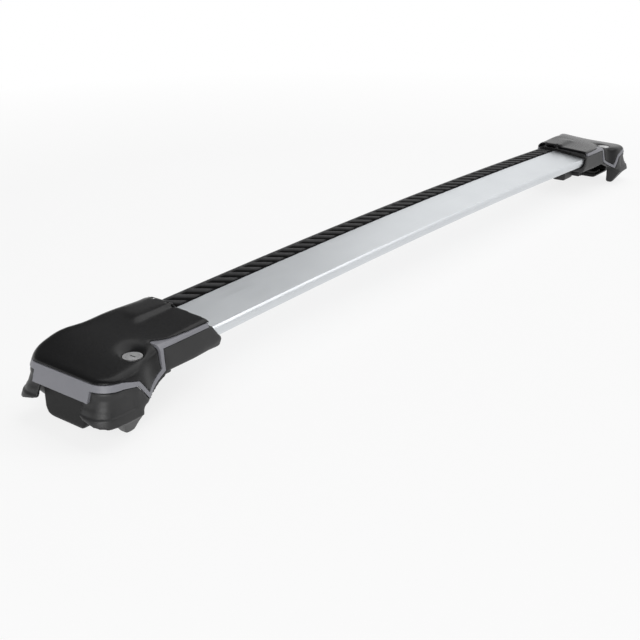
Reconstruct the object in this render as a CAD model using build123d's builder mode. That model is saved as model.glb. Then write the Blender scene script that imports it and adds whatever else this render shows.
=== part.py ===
"""A roof rack crossbar: an arched wing bar with a clamping foot at each end.

Millimetres. +X runs along the bar, +Y towards its leading edge, +Z up, and the feet stand on z = 0.
The right foot is modelled at +X and the left foot is its mirror image.
"""
import os
from math import asin, cos, degrees, radians, sin, tan

from build123d import *

# Bar: heights are below or above the strip's front edge
arch_radius = 14970.0
end_height = 61.65
bar_half = 466.0
nose_y = -37.4
nose_drop = 6.0
nose_low_y = -38.8
nose_low_drop = 16.2
bar_depth = 21.5
bar_flat = 25.0
lead_y = 39.4
lead_drop = 11.0
bar_wall = 2.0
slot_middle = 22.8
strip_width = 22.0
strip_recess = 1.4
slot_width = 11.0
channel_width = 19.0
channel_depth = 6.6
lip_thickness = 2.8

# Ribbed strip
rib_pitch = 18.4
rib_height = 2.2
rib_width = 11.0
rib_top = 4.0
rib_shift = 15.0
stem_depth = 5.0
barb_width = 14.0
barb_height = 2.0

# Foot shell: places along the bar are counted from the bar's end
mouth_x = bar_half - 46.0
wall = 3.0
body_wall = 5.0
half_width = 49.5
flare_width = 58.5
width_height = 19.0
flare_start = bar_half + 21.0
flare_end = bar_half + 59.0
end_x = bar_half + 101.5
corner_radius = 19.0
side_draft = 10.0
end_draft = 19.0
shoulder_radius = 7.0
top_reaches = (-71.0, -26.0, 15.0, 40.0, 59.0, 77.0, 94.0, 114.0)
top_heights = (71.4, 70.0, 69.0, 66.6, 64.0, 60.2, 56.2, 51.0)
top_tilts = (4.0, 5.0, 8.0, 8.0, 6.0, 3.0, 0.0, 0.0)
hump_height = 73.3
hump_front = 6.0
hump_rear = 33.0
hump_end = bar_half - 2.0
hump_depth = 6.0
hump_front_run = 8.0
hump_rear_run = 5.0
hump_end_run = 14.0
hump_round = 5.0
seam_reaches = (-76.0, 15.5, 17.2, 42.5, 53.7, 71.0, 124.0)
seam_heights = (63.2, 62.0, 42.4, 30.0, 45.6, 50.8, 53.0)
trim_width = 3.7
corner_drop = 1.8
seam_gap = 0.5
visor_half = 37.0
visor_low_half = 35.0
visor_low = 38.0
visor_gap = 0.6

# Foot underside
sill_height = 18.0
mouth_lip_x = mouth_x - 12.0
mouth_lip_z = 47.0
sleeve_low = 37.6
tuck_top = 47.0
tuck_low = 30.0
tuck_top_half = 44.6
tuck_low_half = 38.2
tuck_end = bar_half + 24.0
skirt_half = 27.5
skirt_low = 25.0
skirt_reach = 57.0
recess_depth = 1.0
recess_start = bar_half + 52.0
recess_low = 23.0
recess_high = 34.0
skirt_start = bar_half + 79.0
leg_inner = 36.0
leg_reach = 57.0
leg_top = 40.0
leg_start = bar_half + 54.0
leg_end = bar_half + 77.0
toe_start = bar_half + 55.0
toe_end = bar_half + 64.0
toe_outer = 45.0
leg_round = 3.0
floor_end = bar_half - 18.0
heel_half = 10.0
heel_start = mouth_x - 4.0
heel_low = 18.0
collar_end = mouth_x + 12.0
floor_rise = 45.0
arch_start = bar_half + 8.0
arch_middle = (bar_half + 33.0, 30.0)
arch_end = bar_half + 54.0
arch_slope = (0.45, -0.9)

# Core and rail seat
bar_gap = 0.4
jaw_wall_x = bar_half - 16.0
jaw_wall_thickness = 8.0
jaw_wall_half = 22.0
jaw_wall_low = 20.0
seat_z = 36.0
seat_plate = 3.6
seat_end = bar_half + 36.0
block_end = bar_half + 34.0
block_half = 15.0
block_top = 56.0
flange_end = bar_half + 8.0
flange_half = 33.0
flange_top = 55.0
tongue_start = mouth_x + 4.0
tongue_gap = 0.3
arm_thickness = 3.0
arm_end = bar_half + 70.0
arm_low = 44.0
arm_high = 55.0
pad_thickness = 3.0
screw_x = bar_half - 28.0
screw_y = 24.0
screw_radius = 3.0
screw_head_radius = 5.0
screw_head = 3.4
screw_reach = 48.0
hole_gap = 0.2

# Clamp
bolt_z = 49.4
bolt_radius = 4.0
bolt_seat = bar_half + 62.0
bolt_tip = bar_half + 4.0
bolt_head_radius = 5.8
bolt_head = 7.0
socket_flats = 6.0
socket_depth = 4.0
washer_radius = 6.2
washer_thickness = 1.5
clip_radius = 6.4
clip_thickness = 1.2
nut_flats = 13.0
nut_height = 6.5
nut_x = bar_half + 18.0
running_gap = 0.3
slide_gap = 0.5
jaw_block_start = block_end + 8.0
jaw_top = 54.5
jaw_half = 26.0
jaw_face = end_x - 10.5
jaw_low = 6.0
jaw_corner = 12.0
jaw_chin = 5.0
jaw_web = 43.0
jaw_bridge = 7.0
jaw_shoulder = 36.6
jaw_plate = 13.5
jaw_neck = 18.0
toe_length = 47.0
toe_thickness = 7.5
throat_radius = 5.0
jaw_pad_length = 20.0
jaw_pad_width = 42.0

# Lid fittings
hinge_x = mouth_x + 2.4
hinge_z = 70.2
swing_radius = 4.0
knuckle_radius = 2.2
pin_radius = 1.1
knuckle_near = 12.0
knuckle_far = 26.0
ear_width = 4.0
hinge_gap = 0.5
ear_depth = 9.0
ear_height = 4.9
lid_gap = 0.7
lock_x = bar_half + 40.0
lock_y = -32.0
lock_face = 60.0
lock_radius = 8.7
plug_radius = 6.0
lock_bottom = 48.4
cam_top = 47.0
dish_radius = 16.0
dish_wall = 1.8
dish_rise = 8.0
dish_spread = 2.0
socket_wall = 2.2
cam_radius = 10.0
cam_half = 4.0
cam_thickness = 3.0
keyway_length = 7.0
keyway_width = 1.6
keyway_depth = 3.0

# Seal
seal_start = mouth_x - 1.5
seal_end = mouth_x + 10.0
seal_inner = 0.2
seal_outer = 1.7

far = 120.0
plan_depth = 30.0
plan_height = 78.0
arch_z = end_height - (arch_radius**2 - bar_half**2) ** 0.5
arch_axis = Axis((0, 0, arch_z), (0, 1, 0))


def arch_plane(x):
    """The plane across the bar at x, with its origin on the crown line, its x along +Y and its y outwards."""
    lean = asin(x / arch_radius)
    crown = arch_z + arch_radius * cos(lean)
    return Plane(origin=(x, 0, crown), x_dir=(0, 1, 0), z_dir=(cos(lean), 0, -sin(lean)))


def arch_sweep(start, end):
    """The turn in degrees about the arch's axis from x = start to x = end."""
    return degrees(asin(end / arch_radius) - asin(start / arch_radius))


def bar_outline(plane, grow):
    """The wing's outline on a plane across the bar, grown by an amount."""
    strip_front = (slot_middle - strip_width / 2, 0)
    strip_rear = (slot_middle + strip_width / 2, 0)
    nose = (nose_y, -nose_drop)
    nose_tip = (nose_low_y - 1, -(nose_drop + nose_low_drop) / 2)
    nose_low = (nose_low_y, -nose_low_drop)
    floor_front = (-bar_flat, -bar_depth)
    floor_rear = (bar_flat, -bar_depth)
    with BuildSketch(plane) as outline:
        with BuildLine():
            Line(strip_front, nose)
            ThreePointArc(nose, nose_tip, nose_low)
            Line(nose_low, floor_front)
            Line(floor_front, floor_rear)
            ThreePointArc(floor_rear, (lead_y, -lead_drop), strip_rear)
            Line(strip_rear, strip_front)
        make_face()
        if grow:
            offset(amount=grow, mode=Mode.REPLACE)
    return outline.sketch


def bar_cavity(plane, gap):
    """The bar's two hollows, in front of and under the T-slot's channel, drawn in by a gap."""
    hollow = bar_outline(Plane.XY, -bar_wall - gap)
    block_depth = strip_recess + lip_thickness + channel_depth + bar_wall + gap
    with BuildSketch(plane) as cavity:
        add(hollow)
        with Locations((slot_middle, -block_depth / 2)):
            Rectangle(channel_width + 2 * bar_wall + 2 * gap, block_depth, mode=Mode.SUBTRACT)
        with Locations((lead_y, -block_depth / 2)):
            Rectangle(strip_width, block_depth, mode=Mode.SUBTRACT)
    return cavity.sketch


def bar_body(start, end, grow):
    """The bar's solid outer shape between two stations, grown by a clearance."""
    with BuildPart() as body:
        revolve(bar_outline(arch_plane(start), grow), axis=arch_axis, revolution_arc=arch_sweep(start, end))
    return body.part


def plan_face(height, inset):
    """The foot's plan outline at a height, moved in by an inset."""
    side = tan(radians(side_draft)) * (height - width_height) + inset
    tip = end_x - tan(radians(end_draft)) * (height - width_height) - inset
    narrow = half_width - side
    wide = flare_width - side
    start = mouth_x - far
    radius = corner_radius - inset
    middle = (flare_start + flare_end) / 2
    with BuildSketch(Plane.XY.offset(height)) as plan:
        with BuildLine():
            Line((start, -narrow), (flare_start, -narrow))
            Bezier((flare_start, -narrow), (middle, -narrow), (middle, -wide), (flare_end, -wide))
            Line((flare_end, -wide), (tip - radius, -wide))
            RadiusArc((tip - radius, -wide), (tip, radius - wide), -radius)
            Line((tip, radius - wide), (tip, wide - radius))
            RadiusArc((tip, wide - radius), (tip - radius, wide), -radius)
            Line((tip - radius, wide), (flare_end, wide))
            Bezier((flare_end, wide), (middle, wide), (middle, narrow), (flare_start, narrow))
            Line((flare_start, narrow), (start, narrow))
            Line((start, narrow), (start, -narrow))
        make_face()
    return plan.sketch


def envelope(inset):
    """The foot's solid outer shape, moved in by an inset: drafted walls under a domed and tilted top."""
    with BuildPart() as body:
        for side in (-far, far):
            crest = [
                (station, height - inset + side * tan(radians(tilt)))
                for station, height, tilt in zip(top_stations, top_heights, top_tilts)
            ]
            with BuildSketch(Plane.XZ.offset(-side)):
                with BuildLine():
                    ridge = Spline(*crest)
                    Polyline(ridge @ 1, (top_stations[-1], -far), (top_stations[0], -far), ridge @ 0)
                make_face()
        loft(ruled=True)
        loft([plan_face(-plan_depth, inset), plan_face(plan_height, inset)], ruled=True, mode=Mode.INTERSECT)
        roof = body.faces().sort_by(Axis.Z)[-1]
        rim = roof.edges().filter_by(lambda edge: edge.center().X > top_stations[0] + 1)
        fillet(rim, shoulder_radius - inset)
    return body.part


def shifted(points, shift):
    """A line of points moved sideways along its normals, with mitred corners."""
    moved = []
    for index, point in enumerate(points):
        here = Vector(*point)
        ahead = Vector(*points[min(index + 1, len(points) - 1)]) - here
        behind = here - Vector(*points[max(index - 1, 0)])
        first = (behind if index else ahead).normalized()
        last = (ahead if index < len(points) - 1 else behind).normalized()
        normal = Vector(-first.Y - last.Y, first.X + last.X).normalized()
        reach = shift / normal.dot(Vector(-first.Y, first.X))
        moved.append((here.X + normal.X * reach, here.Y + normal.Y * reach))
    return moved


def above_line(points, shift):
    """All that lies above a side line, shifted by an amount, right through the foot."""
    line = shifted(points, shift)
    with BuildPart() as body:
        with BuildSketch(Plane.XZ):
            with BuildLine():
                Polyline(*line, (line[-1][0], 2 * far), (line[0][0], 2 * far), close=True)
            make_face()
        extrude(amount=far, both=True)
    return body.part


def visor_prism(grow):
    """The tab of the end visor, seen along the bar, grown by a clearance."""
    with BuildPart() as body:
        with BuildSketch(Plane.YZ.offset(flare_end)):
            with BuildLine():
                Polyline(
                    (-visor_low_half - grow, visor_low - grow),
                    (visor_low_half + grow, visor_low - grow),
                    (visor_half + grow, far),
                    (-visor_half - grow, far),
                    close=True,
                )
            make_face()
        extrude(amount=far)
    return body.part


def keep(name, builder, pieces):
    """Labels a piece and lists it for writing."""
    builder.part.label = name
    pieces[name] = builder.part


top_stations = [bar_half + reach for reach in top_reaches]
seam_points = [(bar_half + reach, height) for reach, height in zip(seam_reaches, seam_heights)]
corner_points = [(x, height - corner_drop) for x, height in seam_points[-2:]]
trim_points = seam_points[:-2] + corner_points
half_trim = trim_width / 2
outer = envelope(0)
inner = envelope(wall)
hollow = envelope(body_wall)
recessed = envelope(recess_depth)
under_lid = envelope(wall + lid_gap)
above_seam = above_line(seam_points, half_trim)
above_trim = above_line(trim_points, -half_trim)
above_gap = above_line(trim_points, -half_trim - seam_gap)
visor = visor_prism(0)
visor_room = visor_prism(visor_gap)
pieces = {}
feet = {}

# Bar
bar_end = arch_plane(-bar_half)
bar_turn = arch_sweep(-bar_half, bar_half)
with BuildPart() as crossbar:
    revolve(bar_outline(bar_end, 0), axis=arch_axis, revolution_arc=bar_turn)
    revolve(bar_cavity(bar_end, 0), axis=arch_axis, revolution_arc=bar_turn, mode=Mode.SUBTRACT)
    with BuildSketch(bar_end):
        with Locations((slot_middle, -strip_recess / 2)):
            Rectangle(strip_width, strip_recess)
        with Locations((slot_middle, -strip_recess - lip_thickness / 2)):
            Rectangle(slot_width, lip_thickness)
        with Locations((slot_middle, -strip_recess - lip_thickness - channel_depth / 2)):
            Rectangle(channel_width, channel_depth)
    revolve(axis=arch_axis, revolution_arc=bar_turn, mode=Mode.SUBTRACT)
    with BuildSketch(Plane.XY):
        with GridLocations(2 * screw_x, 2 * screw_y, 2, 2):
            Circle(screw_radius + hole_gap)
    extrude(amount=screw_reach, mode=Mode.SUBTRACT)
keep("crossbar", crossbar, pieces)

# Strip: a slab in the recess, a stem with a barb in the channel, and slanted ribs
with BuildPart() as ribbed_strip:
    with BuildSketch(bar_end):
        with Locations((slot_middle, -strip_recess / 2)):
            Rectangle(strip_width, strip_recess)
        with Locations((slot_middle, -strip_recess - stem_depth / 2)):
            Rectangle(slot_width - 2 * hole_gap, stem_depth)
        with Locations((slot_middle, -strip_recess - stem_depth + barb_height / 2)):
            Rectangle(barb_width, barb_height)
    revolve(axis=arch_axis, revolution_arc=bar_turn)
    rib_start = Plane.XZ.offset(-slot_middle - strip_width / 2)
    rib_count = int((2 * mouth_x - rib_width) / rib_pitch)
    with BuildSketch(rib_start):
        for index in range(rib_count):
            x = (index - (rib_count - 1) / 2) * rib_pitch - rib_shift / 2
            base = arch_z + (arch_radius**2 - (x + rib_shift / 2) ** 2) ** 0.5
            with BuildLine():
                Polyline(
                    (x - rib_width / 2, base - strip_recess / 2),
                    (x - rib_width / 2, base),
                    (x - rib_top / 2, base + rib_height),
                    (x + rib_top / 2, base + rib_height),
                    (x + rib_width / 2, base),
                    (x + rib_width / 2, base - strip_recess / 2),
                    close=True,
                )
            make_face()
    extrude(amount=(strip_width**2 + rib_shift**2) ** 0.5, dir=(rib_shift, -strip_width, 0))
keep("ribbed_strip", ribbed_strip, pieces)

# Foot: cutters shared by its pieces
with BuildPart() as trim_room:
    add(above_trim)
    add(visor)

with BuildPart() as lock_boss:
    with BuildSketch(Plane.XY.offset(lock_face - dish_wall)):
        with Locations((lock_x, lock_y)):
            Circle(dish_radius + dish_wall)
    extrude(amount=far)
    with BuildSketch(Plane.XY.offset(lock_bottom + dish_wall)):
        with Locations((lock_x, lock_y)):
            Circle(lock_radius + hole_gap + socket_wall)
    extrude(amount=far)
    add(outer, mode=Mode.INTERSECT)

with BuildPart() as ear_room:
    for start, end in ((knuckle_near - ear_width - 2 * hinge_gap, knuckle_near),
                       (knuckle_far, knuckle_far + ear_width + 2 * hinge_gap)):
        with BuildSketch(Plane.XZ.offset(-end)):
            with Locations((hinge_x, hinge_z)):
                Circle(knuckle_radius + hinge_gap)
            with Locations((hinge_x + knuckle_radius + hinge_gap, hinge_z)):
                Rectangle(ear_depth, ear_depth, align=(Align.MAX, Align.MAX))
        extrude(amount=end - start)

with BuildPart() as hump:
    with BuildSketch(Plane.XY.offset(hump_height - hump_depth)):
        with Locations((mouth_x - wall, hump_front - hump_front_run)):
            Rectangle(
                hump_end + hump_end_run - mouth_x + wall,
                hump_rear + hump_rear_run - hump_front + hump_front_run,
                align=Align.MIN,
            )
    with BuildSketch(Plane.XY.offset(hump_height)):
        with Locations((mouth_x - wall, hump_front)):
            Rectangle(hump_end - mouth_x + wall, hump_rear - hump_front, align=Align.MIN)
    loft(ruled=True)
    crest = hump.faces().sort_by(Axis.Z)[-1]
    fillet(crest.edges().filter_by(lambda edge: edge.center().X > mouth_x), hump_round)

# Cover: the black lid above the seam, with its hinge knuckle and the lock's dish
with BuildPart() as cover:
    add(outer)
    add(hump.part)
    add(above_seam, mode=Mode.INTERSECT)
    add(inner, mode=Mode.SUBTRACT)
    add(lock_boss.part)
    with Locations((lock_x, lock_y, lock_face)):
        Cone(
            lock_radius + hole_gap,
            lock_radius + hole_gap + dish_spread * dish_rise,
            dish_rise,
            align=(Align.CENTER, Align.CENTER, Align.MIN),
            mode=Mode.SUBTRACT,
        )
    with BuildSketch(Plane.XY):
        with Locations((lock_x, lock_y)):
            Circle(lock_radius + hole_gap)
    extrude(amount=lock_face, mode=Mode.SUBTRACT)
    with BuildSketch(Plane.XZ.offset(-knuckle_far)):
        with Locations((hinge_x, hinge_z)):
            Circle(knuckle_radius)
    extrude(amount=knuckle_far - knuckle_near)
    add(ear_room.part, mode=Mode.SUBTRACT)
    with BuildSketch(Plane.XZ.offset(-far)):
        with Locations((hinge_x, hinge_z)):
            Circle(pin_radius + hole_gap)
    extrude(amount=far, mode=Mode.SUBTRACT)
    split(bisect_by=Plane.YZ.offset(mouth_x), keep=Keep.TOP)
keep("cover", cover, feet)

# Trim: the grey line under the cover's edge, which widens to the visor at the end
with BuildPart() as cover_trim:
    add(outer)
    add(inner, mode=Mode.SUBTRACT)
    add(above_seam, mode=Mode.SUBTRACT)
    add(trim_room.part, mode=Mode.INTERSECT)
    split(bisect_by=Plane.YZ.offset(hinge_x), keep=Keep.TOP)
keep("cover_trim", cover_trim, feet)

# Body: sleeve, skirts and legs
with BuildPart() as sleeve:
    add(outer)
    add(above_gap, mode=Mode.SUBTRACT)
    add(under_lid)
    with BuildSketch(Plane.XZ):
        with BuildLine():
            Polyline(
                (mouth_lip_x, 0),
                (floor_end, 0),
                (floor_end, floor_rise),
                (collar_end, floor_rise),
                (collar_end, far),
                (mouth_lip_x, far),
                close=True,
            )
        make_face()
    extrude(amount=far, both=True, mode=Mode.INTERSECT)

with BuildPart() as legs:
    for side in (-1, 1):
        with BuildSketch(Plane.XY) as toe:
            with Locations(((toe_start + toe_end) / 2, side * (leg_inner + toe_outer) / 2)):
                Rectangle(toe_end - toe_start, toe_outer - leg_inner)
        with BuildSketch(Plane.XY.offset(sill_height)) as root:
            with Locations(((leg_start + leg_end) / 2, side * (leg_inner + leg_reach) / 2)):
                Rectangle(leg_end - leg_start, leg_reach - leg_inner)
        loft([toe.sketch, root.sketch], ruled=True)
        extrude(root.sketch, amount=leg_top - sill_height)
    fillet(legs.faces().filter_by(Axis.Z).group_by(Axis.Z)[0].edges(), leg_round)
    add(outer, mode=Mode.INTERSECT)
    add(above_gap, mode=Mode.SUBTRACT)

with BuildPart() as tucks:
    for side in (-1, 1):
        with BuildSketch(Plane.YZ.offset(mouth_lip_x - wall)):
            with BuildLine():
                Polyline(
                    (side * far, tuck_top),
                    (side * tuck_top_half, tuck_top),
                    (side * tuck_low_half, tuck_low),
                    (side * far, tuck_low),
                    close=True,
                )
            make_face()
        with BuildSketch(Plane.YZ.offset(tuck_end)):
            with BuildLine():
                Polyline(
                    (side * far, tuck_top),
                    (side * half_width, tuck_top),
                    (side * half_width, tuck_low),
                    (side * far, tuck_low),
                    close=True,
                )
            make_face()
        loft(ruled=True)

with BuildPart() as skirt_recess:
    add(outer)
    add(recessed, mode=Mode.SUBTRACT)
    with BuildSketch(Plane.XZ):
        with BuildLine():
            Polyline(
                (recess_start, recess_low),
                (end_x, recess_high),
                (end_x, far),
                (recess_start, far),
                close=True,
            )
        make_face()
    extrude(amount=far, both=True, mode=Mode.INTERSECT)

with BuildPart() as foot_body:
    add(outer)
    add(hollow, mode=Mode.SUBTRACT)
    add(above_gap, mode=Mode.SUBTRACT)
    add(sleeve.part)
    add(tucks.part, mode=Mode.SUBTRACT)
    add(skirt_recess.part, mode=Mode.SUBTRACT)
    with BuildSketch(Plane.XZ):
        with BuildLine():
            mouth_edge = Polyline((mouth_x, far), (mouth_x, seam_points[0][1]), (mouth_lip_x, mouth_lip_z))
            sill = Polyline(mouth_edge @ 1, (mouth_lip_x, sleeve_low), (arch_start, sleeve_low))
            arch = Spline(sill @ 1, arch_middle, (arch_end, sill_height), tangents=((1, 0), arch_slope))
            Polyline(arch @ 1, (2 * end_x, sill_height), (2 * end_x, -far), (0, -far), (0, far), mouth_edge @ 0)
        make_face()
    extrude(amount=far, both=True, mode=Mode.SUBTRACT)
    add(legs.part)
    add(visor_room, mode=Mode.SUBTRACT)
    with BuildSketch(Plane.YZ.offset(skirt_start)):
        with Locations((0, visor_low)):
            Rectangle(2 * skirt_half, far)
        with BuildLine():
            Polyline(
                (-skirt_reach, sill_height),
                (-skirt_half, skirt_low),
                (skirt_half, skirt_low),
                (skirt_reach, sill_height),
                (skirt_reach, 0),
                (-skirt_reach, 0),
                close=True,
            )
        make_face()
    extrude(amount=far, mode=Mode.SUBTRACT)
    with BuildSketch(Plane.XY.offset(heel_low)):
        with Locations(((heel_start + floor_end) / 2, 0)):
            Rectangle(floor_end - heel_start, 2 * heel_half)
    extrude(amount=sleeve_low + wall - heel_low)
    add(bar_body(mouth_lip_x - far, bar_half + bar_gap, bar_gap), mode=Mode.SUBTRACT)
    add(bar_body(mouth_lip_x - far, seal_end, seal_outer + hole_gap), mode=Mode.SUBTRACT)
    with BuildSketch(Plane.XZ):
        with Locations((hinge_x, hinge_z)):
            Circle(swing_radius)
    extrude(amount=far, both=True, mode=Mode.SUBTRACT)
    for start in (knuckle_near - hinge_gap - ear_width, knuckle_far + hinge_gap):
        with BuildSketch(Plane.XZ.offset(-start - ear_width)):
            with Locations((hinge_x, hinge_z)):
                Circle(knuckle_radius)
            with Locations((hinge_x, hinge_z - ear_height / 2)):
                Rectangle(2 * knuckle_radius, ear_height)
        extrude(amount=ear_width)
    with BuildSketch(Plane.XZ.offset(-far)):
        with Locations((hinge_x, hinge_z)):
            Circle(pin_radius + hole_gap)
    extrude(amount=far, mode=Mode.SUBTRACT)
    with BuildSketch(Plane.XY):
        with GridLocations(2 * screw_x, 2 * screw_y, 2, 2):
            Circle(screw_radius + hole_gap)
    extrude(amount=screw_reach, mode=Mode.SUBTRACT)
keep("foot_body", foot_body, feet)

# Core: tongues in the bar, fixed jaw, rail seat, nut block and the jaw's guide arms
flange_start = bar_half + bar_gap
with BuildPart() as foot_core:
    revolve(
        bar_cavity(arch_plane(tongue_start), tongue_gap),
        axis=arch_axis,
        revolution_arc=arch_sweep(tongue_start, flange_start + bar_wall),
    )
    with BuildSketch(Plane.XZ):
        with BuildLine():
            Polyline(
                (jaw_wall_x, jaw_wall_low),
                (jaw_wall_x + jaw_wall_thickness, jaw_wall_low),
                (jaw_wall_x + jaw_wall_thickness, seat_z),
                (seat_end, seat_z),
                (seat_end, seat_z + seat_plate),
                (jaw_wall_x, seat_z + seat_plate),
                close=True,
            )
        make_face()
    extrude(amount=jaw_wall_half, both=True)
    with BuildSketch(Plane.XZ):
        with Locations(((flange_start + flange_end) / 2, (seat_z + flange_top) / 2)):
            Rectangle(flange_end - flange_start, flange_top - seat_z)
    extrude(amount=flange_half, both=True)
    with BuildSketch(Plane.XZ):
        with Locations(((flange_start + block_end) / 2, (seat_z + block_top) / 2)):
            Rectangle(block_end - flange_start, block_top - seat_z)
    extrude(amount=block_half, both=True)
    with BuildSketch(Plane.YZ.offset(block_end)):
        with Locations((0, (arm_low + arm_high) / 2)):
            with GridLocations(2 * block_half - arm_thickness, 0, 2, 1):
                Rectangle(arm_thickness, arm_high - arm_low)
    extrude(amount=arm_end - block_end)
    with BuildSketch(Plane.YZ.offset(block_end)):
        with Locations((0, bolt_z)):
            Circle(bolt_radius + running_gap)
    extrude(amount=bolt_tip - block_end - slide_gap, mode=Mode.SUBTRACT)
    with BuildSketch(Plane.YZ.offset(nut_x - hole_gap)):
        with Locations((0, bolt_z)):
            RegularPolygon(nut_flats / 2 + hole_gap, 6, major_radius=False, rotation=30)
        with Locations((0, (bolt_z + block_top) / 2)):
            Rectangle(nut_flats + 2 * hole_gap, block_top - bolt_z)
    extrude(amount=nut_height + 2 * hole_gap, mode=Mode.SUBTRACT)
    with BuildSketch(Plane.XY):
        with GridLocations(2 * screw_x, 2 * screw_y, 2, 2):
            Circle(screw_radius + hole_gap / 2)
    extrude(amount=screw_reach, mode=Mode.SUBTRACT)
keep("foot_core", foot_core, feet)

# Rubber on the fixed jaw and under the seat
with BuildPart() as rail_pad:
    pad_x = jaw_wall_x + jaw_wall_thickness
    with BuildSketch(Plane.XZ):
        with BuildLine():
            Polyline(
                (pad_x, jaw_wall_low),
                (pad_x + pad_thickness, jaw_wall_low),
                (pad_x + pad_thickness, seat_z - pad_thickness),
                (block_end, seat_z - pad_thickness),
                (block_end, seat_z),
                (pad_x, seat_z),
                close=True,
            )
        make_face()
    extrude(amount=jaw_wall_half - pad_thickness, both=True)
keep("rail_pad", rail_pad, feet)

# Seal round the bar in the sleeve's mouth
with BuildPart() as mouth_seal:
    add(bar_body(seal_start, seal_end, seal_outer))
    add(bar_body(seal_start - far, seal_end + far, seal_inner), mode=Mode.SUBTRACT)
keep("mouth_seal", mouth_seal, feet)

# Screws through the sleeve's floor and the bar into the tongues
with BuildPart() as bar_screws:
    with BuildSketch(Plane.XY.offset(sleeve_low - screw_head)):
        with Locations((screw_x, -screw_y), (screw_x, screw_y)):
            Circle(screw_head_radius)
    extrude(amount=screw_head)
    with BuildSketch(Plane.XY.offset(sleeve_low)):
        with Locations((screw_x, -screw_y), (screw_x, screw_y)):
            Circle(screw_radius)
    extrude(amount=screw_reach - sleeve_low - hole_gap)
keep("bar_screws", bar_screws, feet)

# Nut in the core's pocket
with BuildPart() as core_nut:
    with BuildSketch(Plane.YZ.offset(nut_x)):
        with Locations((0, bolt_z)):
            RegularPolygon(nut_flats / 2, 6, major_radius=False, rotation=30)
            Circle(bolt_radius + hole_gap, mode=Mode.SUBTRACT)
    extrude(amount=nut_height)
keep("core_nut", core_nut, feet)

# Jaw: a block between the guide arms and a hooked plate below the visor
jaw_toe = jaw_face - toe_length
jaw_inner = jaw_face - jaw_plate
toe_top = jaw_low + toe_thickness
with BuildPart() as clamp_jaw:
    with BuildSketch(Plane.XZ):
        with BuildLine():
            Polyline(
                (jaw_block_start, jaw_web),
                (jaw_face - jaw_neck, jaw_web),
                (jaw_inner, jaw_shoulder),
                (jaw_face, jaw_shoulder),
                (jaw_face, jaw_low),
                (jaw_toe, jaw_low),
                (jaw_toe, toe_top),
                (jaw_inner, toe_top),
                (jaw_inner, jaw_shoulder - jaw_bridge),
                (jaw_face - jaw_neck, jaw_web - jaw_bridge),
                (jaw_block_start, jaw_web - jaw_bridge),
                close=True,
            )
        profile = make_face()
        fillet(profile.vertices().group_by(Axis.Y)[0], jaw_chin)
        fillet(profile.vertices().filter_by(lambda corner: corner.X == jaw_inner), throat_radius)
    extrude(amount=jaw_half, both=True)
    with BuildSketch(Plane.YZ.offset(jaw_block_start)):
        with Locations((0, jaw_low)):
            front = Rectangle(2 * jaw_half, far, align=(Align.CENTER, Align.MIN))
        fillet(front.vertices().group_by(Axis.Y)[0], jaw_corner)
    extrude(amount=jaw_face - jaw_block_start, mode=Mode.INTERSECT)
    with BuildSketch(Plane.XZ):
        with Locations(((jaw_block_start + bolt_seat) / 2, (jaw_web + jaw_top) / 2)):
            Rectangle(bolt_seat - jaw_block_start, jaw_top - jaw_web)
    extrude(amount=block_half - arm_thickness - slide_gap, both=True)
    with BuildSketch(Plane.YZ.offset(jaw_block_start)):
        with Locations((0, bolt_z)):
            Circle(bolt_radius + running_gap)
    extrude(amount=far, mode=Mode.SUBTRACT)
keep("clamp_jaw", clamp_jaw, feet)

# Rubber on the jaw's toe
with BuildPart() as jaw_pad:
    with BuildSketch(Plane.XY.offset(toe_top)):
        with Locations((jaw_toe + jaw_pad_length / 2 + slide_gap, 0)):
            Rectangle(jaw_pad_length, jaw_pad_width)
    extrude(amount=pad_thickness)
keep("jaw_pad", jaw_pad, feet)

# Clamp bolt with its washer and retaining clip
head_x = bolt_seat + washer_thickness
with BuildPart() as clamp_bolt:
    with BuildSketch(Plane.YZ.offset(bolt_tip)):
        with Locations((0, bolt_z)):
            Circle(bolt_radius)
    extrude(amount=head_x - bolt_tip)
    with BuildSketch(Plane.YZ.offset(head_x)):
        with Locations((0, bolt_z)):
            Circle(bolt_head_radius)
    extrude(amount=bolt_head)
    with BuildSketch(Plane.YZ.offset(head_x + bolt_head)):
        with Locations((0, bolt_z)):
            RegularPolygon(socket_flats / 2, 6, major_radius=False)
    extrude(amount=-socket_depth, mode=Mode.SUBTRACT)
keep("clamp_bolt", clamp_bolt, feet)

with BuildPart() as bolt_washer:
    with BuildSketch(Plane.YZ.offset(bolt_seat)):
        with Locations((0, bolt_z)):
            Circle(washer_radius)
            Circle(bolt_radius + hole_gap, mode=Mode.SUBTRACT)
    extrude(amount=washer_thickness)
keep("bolt_washer", bolt_washer, feet)

with BuildPart() as bolt_clip:
    with BuildSketch(Plane.YZ.offset(jaw_block_start - clip_thickness - hole_gap)):
        with Locations((0, bolt_z)):
            Circle(clip_radius)
            Circle(bolt_radius + hole_gap / 4, mode=Mode.SUBTRACT)
    extrude(amount=clip_thickness)
keep("bolt_clip", bolt_clip, feet)

# Hinge pin through the ears and the knuckle
with BuildPart() as hinge_pin:
    pin_length = knuckle_far - knuckle_near + 2 * hinge_gap + 2 * ear_width
    with BuildSketch(Plane.XZ.offset(-knuckle_far - hinge_gap - ear_width)):
        with Locations((hinge_x, hinge_z)):
            Circle(pin_radius)
    extrude(amount=pin_length)
keep("hinge_pin", hinge_pin, feet)

# Lock: fixed barrel, turning plug with a keyway, and its cam
with BuildPart() as lock_barrel:
    with BuildSketch(Plane.XY.offset(lock_bottom)):
        with Locations((lock_x, lock_y)):
            Circle(lock_radius)
            Circle(plug_radius + hole_gap, mode=Mode.SUBTRACT)
    extrude(amount=lock_face - lock_bottom)
keep("lock_barrel", lock_barrel, feet)

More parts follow.
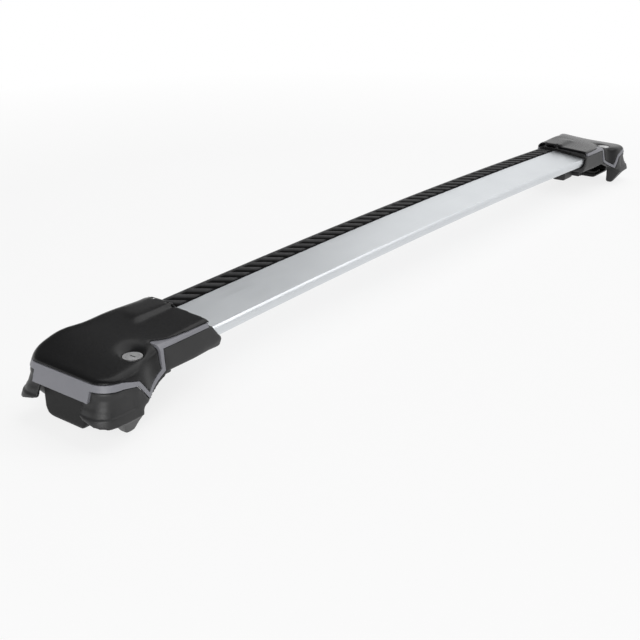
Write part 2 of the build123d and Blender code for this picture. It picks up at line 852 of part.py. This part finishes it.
with BuildPart() as lock_plug:
    with BuildSketch(Plane.XY.offset(cam_top)):
        with Locations((lock_x, lock_y)):
            Circle(plug_radius)
    extrude(amount=lock_face - cam_top)
    with BuildSketch(Plane.XY.offset(lock_face)):
        with Locations((lock_x, lock_y)):
            Rectangle(keyway_width, keyway_length)
    extrude(amount=-keyway_depth, mode=Mode.SUBTRACT)
keep("lock_plug", lock_plug, feet)

with BuildPart() as lock_cam:
    with BuildSketch(Plane.XY.offset(cam_top - cam_thickness)):
        with Locations((lock_x, lock_y)):
            Circle(cam_half + hole_gap)
        with Locations((lock_x - cam_radius / 2, lock_y)):
            Rectangle(cam_radius, 2 * cam_half)
    extrude(amount=cam_thickness)
keep("lock_cam", lock_cam, feet)

# Both feet
for name, piece in feet.items():
    with BuildPart() as left_piece:
        mirror(piece, about=Plane.YZ)
    keep("left_" + name, left_piece, pieces)
    with BuildPart() as right_piece:
        add(piece)
    keep("right_" + name, right_piece, pieces)

os.makedirs("parts", exist_ok=True)
for name, piece in pieces.items():
    export_step(piece, "parts/" + name + ".step")
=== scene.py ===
"""Roof rack crossbar: finishes, moulded shells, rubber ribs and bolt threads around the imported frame.

Lengths are in metres. x runs along the bar, y from the front to the rear, z up. A reach is the distance
from the bar's middle along x, so that both feet share it. A fade is a pair of values: its start and its end.
"""
from math import cos, pi, radians, sin

import bmesh
import bpy
import numpy as np
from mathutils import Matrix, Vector


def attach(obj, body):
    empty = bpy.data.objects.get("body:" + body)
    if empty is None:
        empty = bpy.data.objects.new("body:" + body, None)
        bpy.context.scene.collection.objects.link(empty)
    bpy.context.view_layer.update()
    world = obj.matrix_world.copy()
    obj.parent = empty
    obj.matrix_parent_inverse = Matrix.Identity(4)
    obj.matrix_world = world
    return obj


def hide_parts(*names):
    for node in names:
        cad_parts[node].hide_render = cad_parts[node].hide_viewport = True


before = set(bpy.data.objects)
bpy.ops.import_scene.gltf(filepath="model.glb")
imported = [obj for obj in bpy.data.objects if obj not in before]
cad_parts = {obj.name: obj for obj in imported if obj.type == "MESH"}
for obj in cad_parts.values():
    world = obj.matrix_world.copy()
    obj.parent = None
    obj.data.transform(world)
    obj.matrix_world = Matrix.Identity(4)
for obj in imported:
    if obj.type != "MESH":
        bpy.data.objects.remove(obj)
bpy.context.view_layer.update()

SIDES = {"left": -1.0, "right": 1.0}
MERGE_GAP = 1e-6

# The bar's arch and the rubber strip in its slot
ARCH_RADIUS = 14.970
BAR_CROWN = 0.0689
STRIP_MIDDLE = 0.0228
STRIP_WIDTH = 0.022
STRIP_RECESS = 0.0014
STRIP_HALF = 0.466
STRIP_COLUMNS = 33
RIB_PITCH = 0.0184
RIB_COUNT = 45
RIB_HEIGHT = 0.0022
RIB_SHIFT = 0.015
RIB_STEPS = 20

# Fades across the strip, as shares of its width from -0.5 at the front, and shares of the rib height
REAR_BORDER = (0.30, 0.38)
FRONT_EDGE = (-0.5, -0.40)
FRONT_LEVEL = 0.3
SIDE_EDGE = (0.46, 0.5)
SIDE_SINK = 0.5

# The foot: the sleeve's mouth, the trim's line as reaches and heights, the lock, the legs and the lip
MOUTH_REACH = 0.420
SEAM_REACH = (0.390, 0.4815, 0.4832, 0.5085, 0.5197, 0.537, 0.590)
SEAM_HEIGHT = (0.0632, 0.0620, 0.0424, 0.0300, 0.0456, 0.0508, 0.0530)
LOCK_REACH = 0.506
LOCK_OFFSET = -0.032
LEG_START = 0.520
LEG_END = 0.543
FOOT_MIDDLE = 0.490
LIP_TOP = 0.0268

# Cell sizes of the moulded shells
COVER_CELL = 0.0011
BODY_CELL = 0.0011
CORE_CELL = 0.0009
JAW_CELL = 0.0008

# Where the shells are smoothed: fades by the distance off the trim's line, by reach, by side and by height
COVER_OFF_SEAM = (0.003, 0.009)
COVER_OFF_LOCK = (0.0092, 0.014)
COVER_OFF_MOUTH = (MOUTH_REACH + 0.006, MOUTH_REACH + 0.016)
BODY_OFF_SEAM = (0.004, 0.009)
BODY_SEAM_WEIGHT = 0.15
SLEEVE_START = (0.414, 0.424)
SLEEVE_END = (0.498, 0.486)
SLEEVE_OFF_SEAM = (0.005, 0.010)
SKIRT_START = (LEG_START - 0.008, LEG_START)
SKIRT_END = (LEG_END + 0.010, LEG_END + 0.002)
SKIRT_OFF_SEAM = (0.009, 0.014)
SKIRT_SIDE = (0.040, 0.045)
SKIRT_HEIGHT = (0.0195, 0.0235)

# The step above the skirt's lip, and the drawing in of the fixed jaw's cheeks
STEP_DEPTH = 0.0014
STEP_FACING = (0.3, 0.6)
STEP_REACH = (0.522, 0.530)
STEP_HEIGHT = (LIP_TOP - 0.0008, LIP_TOP + 0.0012)
STEP_OFF_SEAM = (0.006, 0.011)
CHEEK_DRAW = 0.14
CHEEK_HEIGHT = (0.0345, 0.0325)
CHEEK_REACH = (0.462, 0.459)

# The clamp bolt's thread
SHANK_RADIUS = 0.00402
BOLT_HEIGHT = 0.0494
THREAD_START = 0.4705
THREAD_END = 0.5265
THREAD_PITCH = 0.00125
THREAD_DEPTH = 0.00022
THREAD_STEPS = 8
THREAD_COLUMNS = 25

# Finishes: the part of a noise that is used, bump depths, and the rib heights from valley to top, which set
# painted shade
NOISE_LOW = 0.3
NOISE_HIGH = 0.7
GRAIN_DEPTH = 0.0002
FINE_DEPTH = 0.0001
RIB_VALLEY = 0.2
RIB_TOP = 0.9

# Camera at the photograph's viewpoint
CAMERA_PLACE = (-1.016422, -0.619388, 0.408443)
CAMERA_YAW = radians(37.23)
CAMERA_PITCH = radians(22.49)
FOCAL_PIXELS = 988.0
FRAME_PIXELS = 640.0
SENSOR_WIDTH = 36.0
VIEW_DEPTH = 50.0

# A low round white wall stands round a white floor, and rises to a tall panel beyond the far foot
WALL_RADIUS = 7.0
WALL_LOW = 1.6
WALL_TALL = 6.5
PANEL_EDGE = radians(39.0)
PANEL_MIDDLE = radians(19.0)
WALL_COLUMNS = 129
FLOOR_COLUMNS = 65
FLOOR_RINGS = 9
PAPER_WHITE = (0.9, 0.9, 0.9, 1.0)
FLOOR_SHADOW = 0.20
WALL_SHADOW = 0.0
SHADOW_REACH = 0.7
SHADOW_END = 1.6
DARK_SKY = 0.22


def shader(material):
    """The material's own Principled shader."""
    return material.node_tree.nodes["Principled BSDF"]


def finish_base(name, colour, roughness, metallic=0.0, specular=0.5):
    """A fresh material with its even values set on the shader's sockets."""
    material = bpy.data.materials.new(name)
    material.use_nodes = True
    lit = shader(material)
    lit.inputs["Base Color"].default_value = (*colour, 1.0)
    lit.inputs["Roughness"].default_value = roughness
    lit.inputs["Metallic"].default_value = metallic
    lit.inputs["Specular IOR Level"].default_value = specular
    return material


def add_node(owner, kind, **values):
    """A node in a material or world, with its named inputs set."""
    node = owner.node_tree.nodes.new(kind)
    for key, value in values.items():
        node.inputs[key.replace("_", " ")].default_value = value
    return node


def combined(owner, operation, first, second):
    """The output of a Math node over two sockets."""
    node = add_node(owner, "ShaderNodeMath")
    node.operation = operation
    owner.node_tree.links.new(first, node.inputs[0])
    owner.node_tree.links.new(second, node.inputs[1])
    return node.outputs["Value"]


def object_noise(material, scale, detail, stretch=(1.0, 1.0, 1.0)):
    """Noise on Object coordinates, drawn out along an axis by a Mapping node."""
    links = material.node_tree.links
    place = add_node(material, "ShaderNodeTexCoord")
    turn = add_node(material, "ShaderNodeMapping", Scale=stretch)
    noise = add_node(material, "ShaderNodeTexNoise", Scale=scale, Detail=detail)
    links.new(place.outputs["Object"], turn.inputs["Vector"])
    links.new(turn.outputs["Vector"], noise.inputs["Vector"])
    return noise


def vary(material, noise, socket, low, high):
    """Spreads a noise over a range of values on one socket."""
    spread = add_node(
        material, "ShaderNodeMapRange", From_Min=NOISE_LOW, From_Max=NOISE_HIGH, To_Min=low, To_Max=high)
    material.node_tree.links.new(noise.outputs["Fac"], spread.inputs["Value"])
    material.node_tree.links.new(spread.outputs["Result"], shader(material).inputs[socket])


def tint(material, noise, dark, light):
    """Colours the shader between two tones along a noise."""
    tones = add_node(material, "ShaderNodeValToRGB")
    first, last = tones.color_ramp.elements
    first.position = NOISE_LOW
    first.color = (*dark, 1.0)
    last.position = NOISE_HIGH
    last.color = (*light, 1.0)
    material.node_tree.links.new(noise.outputs["Fac"], tones.inputs["Fac"])
    material.node_tree.links.new(tones.outputs["Color"], shader(material).inputs["Base Color"])


def emboss(material, noise, strength, depth):
    """Raises a noise as bump."""
    bump = add_node(material, "ShaderNodeBump", Strength=strength, Distance=depth)
    material.node_tree.links.new(noise.outputs["Fac"], bump.inputs["Height"])
    material.node_tree.links.new(bump.outputs["Normal"], shader(material).inputs["Normal"])


def anodised_bar():
    """Satin anodised aluminium with faint drawing lines along the bar."""
    material = finish_base("anodised_bar", (0.675, 0.70, 0.722), roughness=0.38, metallic=1.0)
    lines = object_noise(material, scale=900.0, detail=4.0, stretch=(0.012, 1.0, 1.0))
    vary(material, lines, "Roughness", low=0.34, high=0.42)
    emboss(material, lines, strength=0.12, depth=GRAIN_DEPTH)
    cloud = object_noise(material, scale=14.0, detail=2.0)
    tint(material, cloud, dark=(0.660, 0.684, 0.706), light=(0.700, 0.724, 0.746))
    return material


def moulded_plastic(name, dark, light, roughness, grain, strength, specular):
    """Moulded plastic: a fine spark-eroded grain that changes the gloss, and a slow change of tone."""
    material = finish_base(name, light, roughness, specular=specular)
    cloud = object_noise(material, scale=22.0, detail=3.0)
    tint(material, cloud, dark, light)
    fine = object_noise(material, scale=grain, detail=2.0)
    vary(material, fine, "Roughness", low=roughness - 0.05, high=roughness + 0.06)
    emboss(material, fine, strength, GRAIN_DEPTH)
    return material


def ribbed_rubber(name, dark, light, roughness):
    """Matte rubber with a dusty bloom."""
    material = finish_base(name, light, roughness, specular=0.35)
    bloom = object_noise(material, scale=60.0, detail=4.0)
    tint(material, bloom, dark, light)
    fine = object_noise(material, scale=2600.0, detail=2.0)
    vary(material, bloom, "Roughness", low=roughness - 0.08, high=roughness + 0.08)
    emboss(material, fine, strength=0.25, depth=FINE_DEPTH)
    return material


def strip_rubber_painted_shade():
    """The strip's rubber: painted shade by its own rib heights, full grey on the ribs and near black in the
    valleys.
    """
    material = ribbed_rubber("strip_rubber_painted_shade", (0.040, 0.040, 0.041), (0.058, 0.058, 0.060), roughness=0.52)
    links = material.node_tree.links
    lit = shader(material)
    lit.inputs["Specular IOR Level"].default_value = 0.1
    bloom = lit.inputs["Base Color"].links[0].from_socket
    height = add_node(material, "ShaderNodeAttribute")
    height.attribute_name = "rib_height"
    # Painted shade: the colour is multiplied down to 0.06 in the valleys and kept whole on the rib tops
    depth = add_node(
        material, "ShaderNodeMapRange", From_Min=RIB_VALLEY, From_Max=RIB_TOP, To_Min=0.06, To_Max=1.0)
    dull = add_node(
        material, "ShaderNodeMapRange", From_Min=RIB_VALLEY, From_Max=RIB_TOP, To_Min=0.9, To_Max=0.45)
    mix = add_node(material, "ShaderNodeVectorMath")
    mix.operation = "MULTIPLY"
    links.new(height.outputs["Fac"], depth.inputs["Value"])
    links.new(height.outputs["Fac"], dull.inputs["Value"])
    links.new(dull.outputs["Result"], lit.inputs["Roughness"])
    links.new(bloom, mix.inputs[0])
    links.new(depth.outputs["Result"], mix.inputs[1])
    links.new(mix.outputs["Vector"], lit.inputs["Base Color"])
    return material


def plated_steel(name, dark, light, roughness):
    """Plated or cast metal with small clouds and fine tool marks."""
    material = finish_base(name, light, roughness, metallic=1.0)
    cloud = object_noise(material, scale=160.0, detail=4.0)
    tint(material, cloud, dark, light)
    marks = object_noise(material, scale=1500.0, detail=3.0, stretch=(1.0, 0.15, 1.0))
    vary(material, marks, "Roughness", low=roughness - 0.07, high=roughness + 0.10)
    emboss(material, marks, strength=0.15, depth=FINE_DEPTH)
    return material


FINISHES = {
    "bar": anodised_bar(),
    "black": moulded_plastic(
        "satin_black", (0.0036, 0.0036, 0.004), (0.0050, 0.0050, 0.0055),
        roughness=0.29, grain=2400.0, strength=0.05, specular=0.25),
    "grey": moulded_plastic(
        "visor_grey", (0.212, 0.213, 0.235), (0.236, 0.237, 0.260),
        roughness=0.42, grain=2600.0, strength=0.10, specular=0.5),
    "charcoal": moulded_plastic(
        "grained_charcoal", (0.019, 0.019, 0.0195), (0.026, 0.026, 0.0265),
        roughness=0.44, grain=1500.0, strength=0.30, specular=0.42),
    "jaw": moulded_plastic(
        "coated_jaw", (0.006, 0.006, 0.006), (0.009, 0.009, 0.009),
        roughness=0.50, grain=1100.0, strength=0.30, specular=0.2),
    "rubber": ribbed_rubber("matte_rubber", (0.010, 0.010, 0.010), (0.017, 0.017, 0.017), roughness=0.62),
    "strip": strip_rubber_painted_shade(),
    "cast": plated_steel("cast_core", (0.045, 0.045, 0.046), (0.075, 0.075, 0.077), roughness=0.58),
    "steel": plated_steel("zinc_steel", (0.40, 0.40, 0.41), (0.56, 0.56, 0.57), roughness=0.32),
    "lock": plated_steel("satin_nickel", (0.62, 0.62, 0.625), (0.72, 0.72, 0.725), roughness=0.42),
}

NODE_FINISH = {
    "foot_body": "charcoal",
    "foot_core": "cast",
    "rail_pad": "rubber",
    "mouth_seal": "rubber",
    "bar_screws": "steel",
    "core_nut": "steel",
    "hinge_pin": "cast",
    "cover": "black",
    "cover_trim": "grey",
    "lock_barrel": "lock",
    "lock_plug": "lock",
    "lock_cam": "steel",
    "clamp_jaw": "jaw",
    "jaw_pad": "rubber",
    "clamp_bolt": "steel",
    "bolt_washer": "steel",
    "bolt_clip": "steel",
}


def dress(node, finish):
    """Gives a CAD node its finish."""
    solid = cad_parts[node]
    solid.data.materials.clear()
    solid.data.materials.append(FINISHES[finish])


dress("crossbar", "bar")
dress("ribbed_strip", "rubber")
for side in SIDES:
    for part, finish in NODE_FINISH.items():
        dress(side + "_" + part, finish)


def ramp(value, start, end):
    """A smooth rise from 0 at start to 1 at end: three times the share squared less twice its cube."""
    share = np.clip((value - start) / (end - start), 0, 1)
    return share * share * (3 - 2 * share)


def merge_doubles(mesh):
    """Joins the points of a mesh that lie on each other."""
    work = bmesh.new()
    work.from_mesh(mesh)
    bmesh.ops.remove_doubles(work, verts=work.verts, dist=MERGE_GAP)
    work.to_mesh(mesh)
    work.free()


def quad_sheet(name, points):
    """A mesh of quads over rows by columns of points."""
    rows, columns = points.shape[:2]
    index = np.arange(rows * columns).reshape(rows, columns)
    corners = [index[:-1, :-1], index[:-1, 1:], index[1:, 1:], index[1:, :-1]]
    mesh = bpy.data.meshes.new(name)
    mesh.from_pydata(points.reshape(-1, 3), [], np.stack(corners, axis=-1).reshape(-1, 4))
    return mesh


def capped(grid):
    """Closes a tube of rows: each end gets one more row, drawn together in the middle of the end row."""
    first = np.broadcast_to(grid[:1].mean(axis=1, keepdims=True), grid[:1].shape)
    last = np.broadcast_to(grid[-1:].mean(axis=1, keepdims=True), grid[-1:].shape)
    return np.concatenate([first, grid, last])


def settled(name, mesh, finish, body):
    """A smooth shaded piece with its finish, which rides on a body."""
    mesh.polygons.foreach_set("use_smooth", np.ones(len(mesh.polygons), dtype=bool))
    mesh.materials.clear()
    mesh.materials.append(FINISHES[finish])
    mesh.update()
    piece = bpy.data.objects.new(name, mesh)
    bpy.context.collection.objects.link(piece)
    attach(piece, body)
    return piece


def grid_piece(name, points, finish, body, heights=None):
    """A piece from rows by columns of points, with its seams welded and, where given, its rib heights."""
    mesh = quad_sheet(name, points)
    if heights is not None:
        mesh.attributes.new("rib_height", "FLOAT", "POINT").data.foreach_set("value", heights.ravel())
    merge_doubles(mesh)
    return settled(name, mesh, finish, body)


def remeshed(node, cell):
    """A copy of a CAD node's mesh, merged and rebuilt in cells of one size."""
    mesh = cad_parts[node].data.copy()
    merge_doubles(mesh)
    rough = bpy.data.objects.new(node + "_rough", mesh)
    bpy.context.collection.objects.link(rough)
    cells = rough.modifiers.new("cells", "REMESH")
    cells.mode = "VOXEL"
    cells.voxel_size = cell
    evaluated = rough.evaluated_get(bpy.context.evaluated_depsgraph_get())
    shell = bpy.data.meshes.new_from_object(evaluated)
    bpy.data.objects.remove(rough)
    bpy.data.meshes.remove(mesh)
    return shell


def relaxed(points, edges, weight, rounds):
    """Moves each point half way, times its weight, to the middle of its neighbours, a number of times."""
    ends = np.concatenate([edges[:, 0], edges[:, 1]])
    others = np.concatenate([edges[:, 1], edges[:, 0]])
    count = len(points)
    neighbours = np.bincount(ends, minlength=count)[:, None]
    for _ in range(rounds):
        sums = [np.bincount(ends, weights=points[others, axis], minlength=count) for axis in range(3)]
        points = points + 0.5 * weight[:, None] * (np.stack(sums, axis=-1) / neighbours - points)
    return points


def moulded_copy(node, cell, passes, finish, body, reshape=None):
    """A copy of a CAD node with the rounded edges of a moulding, which stands for the node.

    The copy is remeshed in small cells and relaxed. A pass is a weight, worked out from the points, and its
    number of rounds. A reshape then moves the points by their places and outward directions.
    """
    shell = remeshed(node, cell)
    points = np.empty(len(shell.vertices) * 3)
    shell.vertices.foreach_get("co", points)
    points = points.reshape(-1, 3)
    edges = np.empty(len(shell.edges) * 2, dtype=np.int32)
    shell.edges.foreach_get("vertices", edges)
    edges = edges.reshape(-1, 2)
    for weigh, rounds in passes:
        weight = weigh(np.abs(points[:, 0]), points[:, 1], points[:, 2])
        points = relaxed(points, edges, weight, rounds)
    shell.vertices.foreach_set("co", points.ravel())
    shell.update()
    if reshape:
        outward = np.empty(points.size)
        shell.vertex_normals.foreach_get("vector", outward)
        points = reshape(points, outward.reshape(-1, 3))
        shell.vertices.foreach_set("co", points.ravel())
    piece = settled(node + "_shell", shell, finish, body)
    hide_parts(node)


def below_seam(reach, z):
    """How far a point lies below the trim's line, which runs straight between its reaches and heights."""
    return np.interp(reach, SEAM_REACH, SEAM_HEIGHT) - z


def everywhere(reach, y, z):
    """The same weight at each point."""
    return np.ones_like(reach)


def crown_of_cover(reach, y, z):
    """Weight that rises over the trim's line and stays off the rim, the lock's bore and the hinge end."""
    off_lock = ramp(np.hypot(reach - LOCK_REACH, y - LOCK_OFFSET), *COVER_OFF_LOCK)
    return ramp(-below_seam(reach, z), *COVER_OFF_SEAM) * off_lock * ramp(reach, *COVER_OFF_MOUTH)


def body_edges(reach, y, z):
    """Full weight, eased where the shell meets the trim, so that the seam stays closed."""
    return BODY_SEAM_WEIGHT + (1 - BODY_SEAM_WEIGHT) * ramp(below_seam(reach, z), *BODY_OFF_SEAM)


def sleeve_edges(reach, y, z):
    """Weight on the sleeve round the bar, off its mouth and off the trim's line."""
    along = ramp(reach, *SLEEVE_START) * ramp(reach, *SLEEVE_END)
    return along * ramp(below_seam(reach, z), *SLEEVE_OFF_SEAM)


def skirt_corner(reach, y, z):
    """Weight on the skirt above the feet of the shell, where the walls run into each other."""
    along = ramp(reach, *SKIRT_START) * ramp(reach, *SKIRT_END)
    off_seam = ramp(below_seam(reach, z), *SKIRT_OFF_SEAM)
    return along * off_seam * ramp(np.abs(y), *SKIRT_SIDE) * ramp(z, *SKIRT_HEIGHT)


def skirt_step(points, outward):
    """Sets the skirt's outside back above its lip, against the outward direction, by a step below the trim.

    A point faces outside by the share of its outward direction that leads away from the foot's middle.
    """
    x, y, z = points.T
    reach = np.abs(x)
    spread = np.stack([x - np.sign(x) * FOOT_MIDDLE, y], axis=-1)
    facing = (outward[:, :2] * spread).sum(axis=-1) / np.linalg.norm(spread, axis=-1)
    share = ramp(facing, *STEP_FACING) * ramp(reach, *STEP_REACH) * ramp(z, *STEP_HEIGHT)
    share = share * ramp(below_seam(reach, z), *STEP_OFF_SEAM)
    return points - STEP_DEPTH * share[:, None] * outward


def narrow_jaw(points, outward):
    """Draws the fixed jaw's cheeks in below the seat, so that they stay behind the arch of the shell."""
    low = ramp(points[:, 2], *CHEEK_HEIGHT) * ramp(np.abs(points[:, 0]), *CHEEK_REACH)
    same = np.ones_like(low)
    return points * np.stack([same, 1 - CHEEK_DRAW * low, same], axis=-1)


for side in SIDES:
    moulded_copy(
        side + "_cover", COVER_CELL, [(everywhere, 4), (crown_of_cover, 40)],
        "black", side + "_lid")
    moulded_copy(
        side + "_foot_body", BODY_CELL, [(body_edges, 8), (sleeve_edges, 30), (skirt_corner, 90)],
        "charcoal", "rack", skirt_step)
    moulded_copy(
        side + "_foot_core", CORE_CELL, [(everywhere, 3)],
        "cast", "rack", narrow_jaw)
    moulded_copy(
        side + "_clamp_jaw", JAW_CELL, [(everywhere, 8)],
        "jaw", side + "_jaw")


def crown_height(x):
    """The height of the strip's slab along the bar: a circle of the arch's radius."""
    return BAR_CROWN - ARCH_RADIUS + np.sqrt(ARCH_RADIUS**2 - x**2)


def rib_wave(phase):
    """A rounded rib in each turn of the phase: a cosine hill, flat on top and steep at its sides."""
    hill = 0.5 + 0.5 * np.cos(2 * pi * phase)
    return hill * hill * (3 - 2 * hill)


def rib_strip():
    """The rubber strip: rows along the arch, columns across, height from slanted rib waves.

    The height is the arch plus the rib height times the wave of (x plus a slant across the width) over the
    pitch. Towards the rear edge the wave gives way to a level border, and it sinks at the front edge and at
    the ends. Outer columns close the sides and the underside. The second array is the height as a share of
    the rib height.
    """
    half_ribbed = RIB_COUNT * RIB_PITCH / 2
    along = np.linspace(-half_ribbed, half_ribbed, RIB_COUNT * RIB_STEPS)
    along = np.concatenate([[-STRIP_HALF], along, [STRIP_HALF]])
    x, v = np.meshgrid(along, np.linspace(-0.5, 0.5, STRIP_COLUMNS), indexing="ij")
    wave = rib_wave((x + RIB_SHIFT * v) / RIB_PITCH)
    border = ramp(v, *REAR_BORDER)
    front = FRONT_LEVEL + (1 - FRONT_LEVEL) * ramp(v, *FRONT_EDGE)
    ends = ramp(half_ribbed - np.abs(x), 0.0, RIB_PITCH / 2)
    level = ends * (border + (1 - border) * wave * front)
    level = level * (1 - SIDE_SINK * ramp(np.abs(v), *SIDE_EDGE))
    top = np.stack([x, STRIP_MIDDLE + STRIP_WIDTH * v, crown_height(x) + RIB_HEIGHT * level], axis=-1)
    sides = top[:, [0, -1]]
    sides[..., 2] = crown_height(sides[..., 0]) - STRIP_RECESS
    ring = np.concatenate([sides[:, :1], top, sides[:, 1:], sides[:, :1]], axis=1)
    # The shade rows carry the rib height that the strip's finish turns into painted valley shade
    shade = np.concatenate([level[:, :1], level, level[:, -1:], level[:, :1]], axis=1)
    return capped(ring[::-1]), capped(shade[::-1, :, None])


strip_points, strip_heights = rib_strip()
strip = grid_piece("rubber_ribs", strip_points, "strip", "rack", strip_heights)
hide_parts("ribbed_strip")


def bolt_thread(sign):
    """A screw thread: rows along the shank, columns round it, radius from a triangle wave of the helix."""
    turns = int((THREAD_END - THREAD_START) / THREAD_PITCH)
    along = np.linspace(THREAD_START, THREAD_END, turns * THREAD_STEPS)
    u, angle = np.meshgrid(along, np.linspace(0, 2 * pi, THREAD_COLUMNS), indexing="ij")
    phase = (u / THREAD_PITCH - angle / (2 * pi)) % 1.0
    start = ramp(u, THREAD_START, THREAD_START + THREAD_PITCH)
    end = ramp(u, THREAD_END, THREAD_END - THREAD_PITCH)
    radius = SHANK_RADIUS + start * end * THREAD_DEPTH * np.abs(2 * phase - 1)
    y = radius * np.cos(sign * angle)
    z = BOLT_HEIGHT + radius * np.sin(sign * angle)
    return capped(np.stack([sign * u, y, z], axis=-1))


for side, sign in SIDES.items():
    grid_piece(side + "_bolt_thread", bolt_thread(sign), "steel", side + "_bolt")


def photograph_view():
    """The camera, turned by its yaw and pitch, with the focal length in pixels as a share of the frame."""
    lens = bpy.data.cameras.new("view")
    lens.sensor_width = SENSOR_WIDTH
    lens.lens = SENSOR_WIDTH * FOCAL_PIXELS / FRAME_PIXELS
    lens.clip_end = VIEW_DEPTH
    eye = bpy.data.objects.new("view", lens)
    bpy.context.collection.objects.link(eye)
    level = cos(CAMERA_PITCH)
    ahead = Vector((level * cos(CAMERA_YAW), level * sin(CAMERA_YAW), -sin(CAMERA_PITCH)))
    eye.location = CAMERA_PLACE
    eye.rotation_euler = ahead.to_track_quat("-Z", "Y").to_euler()
    bpy.context.scene.camera = eye


def lamp(name, place, target, width, height, power):
    """A soft rectangular lamp turned towards a point."""
    light = bpy.data.lights.new(name, "AREA")
    light.shape = "RECTANGLE"
    light.size = width
    light.size_y = height
    light.energy = power
    stand = bpy.data.objects.new(name, light)
    bpy.context.collection.objects.link(stand)
    stand.location = place
    stand.rotation_euler = (Vector(target) - Vector(place)).to_track_quat("-Z", "Y").to_euler()


photograph_view()
lamp("overhead", place=(1.3, -0.1, 2.6), target=(1.3, -0.1, 0.0), width=3.0, height=3.4, power=48.0)
lamp("front_left", place=(-2.2, -1.2, 1.1), target=(-0.4, 0.0, 0.05), width=1.4, height=1.2, power=32.0)
lamp("front_right", place=(1.6, -1.8, 1.5), target=(0.3, 0.0, 0.05), width=1.2, height=1.0, power=9.0)


def backdrop_white(name, shadow):
    """White that the camera, gloss and glass see, with a share of lit white near by that keeps the shadow."""
    material = bpy.data.materials.new(name)
    material.use_nodes = True
    nodes = material.node_tree.nodes
    links = material.node_tree.links
    nodes.remove(nodes["Principled BSDF"])
    lit = add_node(material, "ShaderNodeBsdfDiffuse", Color=PAPER_WHITE)
    glow = add_node(material, "ShaderNodeEmission", Strength=1.0)
    path = add_node(material, "ShaderNodeLightPath").outputs
    place = add_node(material, "ShaderNodeTexCoord")
    reach = add_node(material, "ShaderNodeVectorMath")
    reach.operation = "LENGTH"
    fade = add_node(
        material, "ShaderNodeMapRange",
        From_Min=SHADOW_REACH, From_Max=SHADOW_END, To_Min=1.0 - shadow, To_Max=1.0)
    mix = add_node(material, "ShaderNodeMixShader")
    links.new(place.outputs["Object"], reach.inputs[0])
    links.new(reach.outputs["Value"], fade.inputs["Value"])
    seen = combined(material, "MAXIMUM", path["Is Camera Ray"], path["Is Glossy Ray"])
    clear = combined(material, "MAXIMUM", seen, path["Is Transmission Ray"])
    glowing = combined(material, "MULTIPLY", clear, fade.outputs["Result"])
    links.new(glowing, mix.inputs["Fac"])
    links.new(lit.outputs["BSDF"], mix.inputs[1])
    links.new(glow.outputs["Emission"], mix.inputs[2])
    links.new(mix.outputs["Shader"], nodes["Material Output"].inputs["Surface"])
    return material


def stage_sheet(name, points, material):
    """A backdrop surface from rows by columns of points."""
    mesh = quad_sheet(name, points)
    mesh.materials.append(material)
    sheet = bpy.data.objects.new(name, mesh)
    bpy.context.collection.objects.link(sheet)


def round_wall(radius, low, tall):
    """A cylinder's wall: columns by angle, and the top rises smoothly from low to tall round angle 0."""
    angle, share = np.meshgrid(np.linspace(-pi, pi, WALL_COLUMNS), np.linspace(0, 1, 2))
    top = low + (tall - low) * ramp(np.abs(angle), PANEL_EDGE, PANEL_MIDDLE)
    return np.stack([radius * np.cos(angle), radius * np.sin(angle), share * top], axis=-1)


def flat_floor(radius):
    """A round floor: rings of points from the middle to the wall."""
    turn = np.linspace(0, 2 * pi, FLOOR_COLUMNS)
    angle, ring = np.meshgrid(turn, np.linspace(0, radius, FLOOR_RINGS), indexing="ij")
    return np.stack([ring * np.cos(angle), ring * np.sin(angle), 0 * ring], axis=-1)


def studio_sky():
    """A world that is white to the camera and through glass, and dark to gloss and to the lit surfaces."""
    world = bpy.data.worlds.new("studio")
    world.use_nodes = True
    bpy.context.scene.world = world
    links = world.node_tree.links
    sky = world.node_tree.nodes["Background"]
    sky.inputs["Color"].default_value = (1.0, 1.0, 1.0, 1.0)
    path = add_node(world, "ShaderNodeLightPath").outputs
    level = add_node(world, "ShaderNodeMapRange", To_Min=DARK_SKY, To_Max=1.0)
    seen = combined(world, "MAXIMUM", path["Is Camera Ray"], path["Is Transmission Ray"])
    links.new(seen, level.inputs["Value"])
    links.new(level.outputs["Result"], sky.inputs["Strength"])


stage_sheet("floor", flat_floor(WALL_RADIUS), backdrop_white("floor_white", FLOOR_SHADOW))
stage_sheet("wall", round_wall(WALL_RADIUS, WALL_LOW, WALL_TALL), backdrop_white("wall_white", WALL_SHADOW))
studio_sky()
bpy.context.scene.view_settings.view_transform = "Standard"
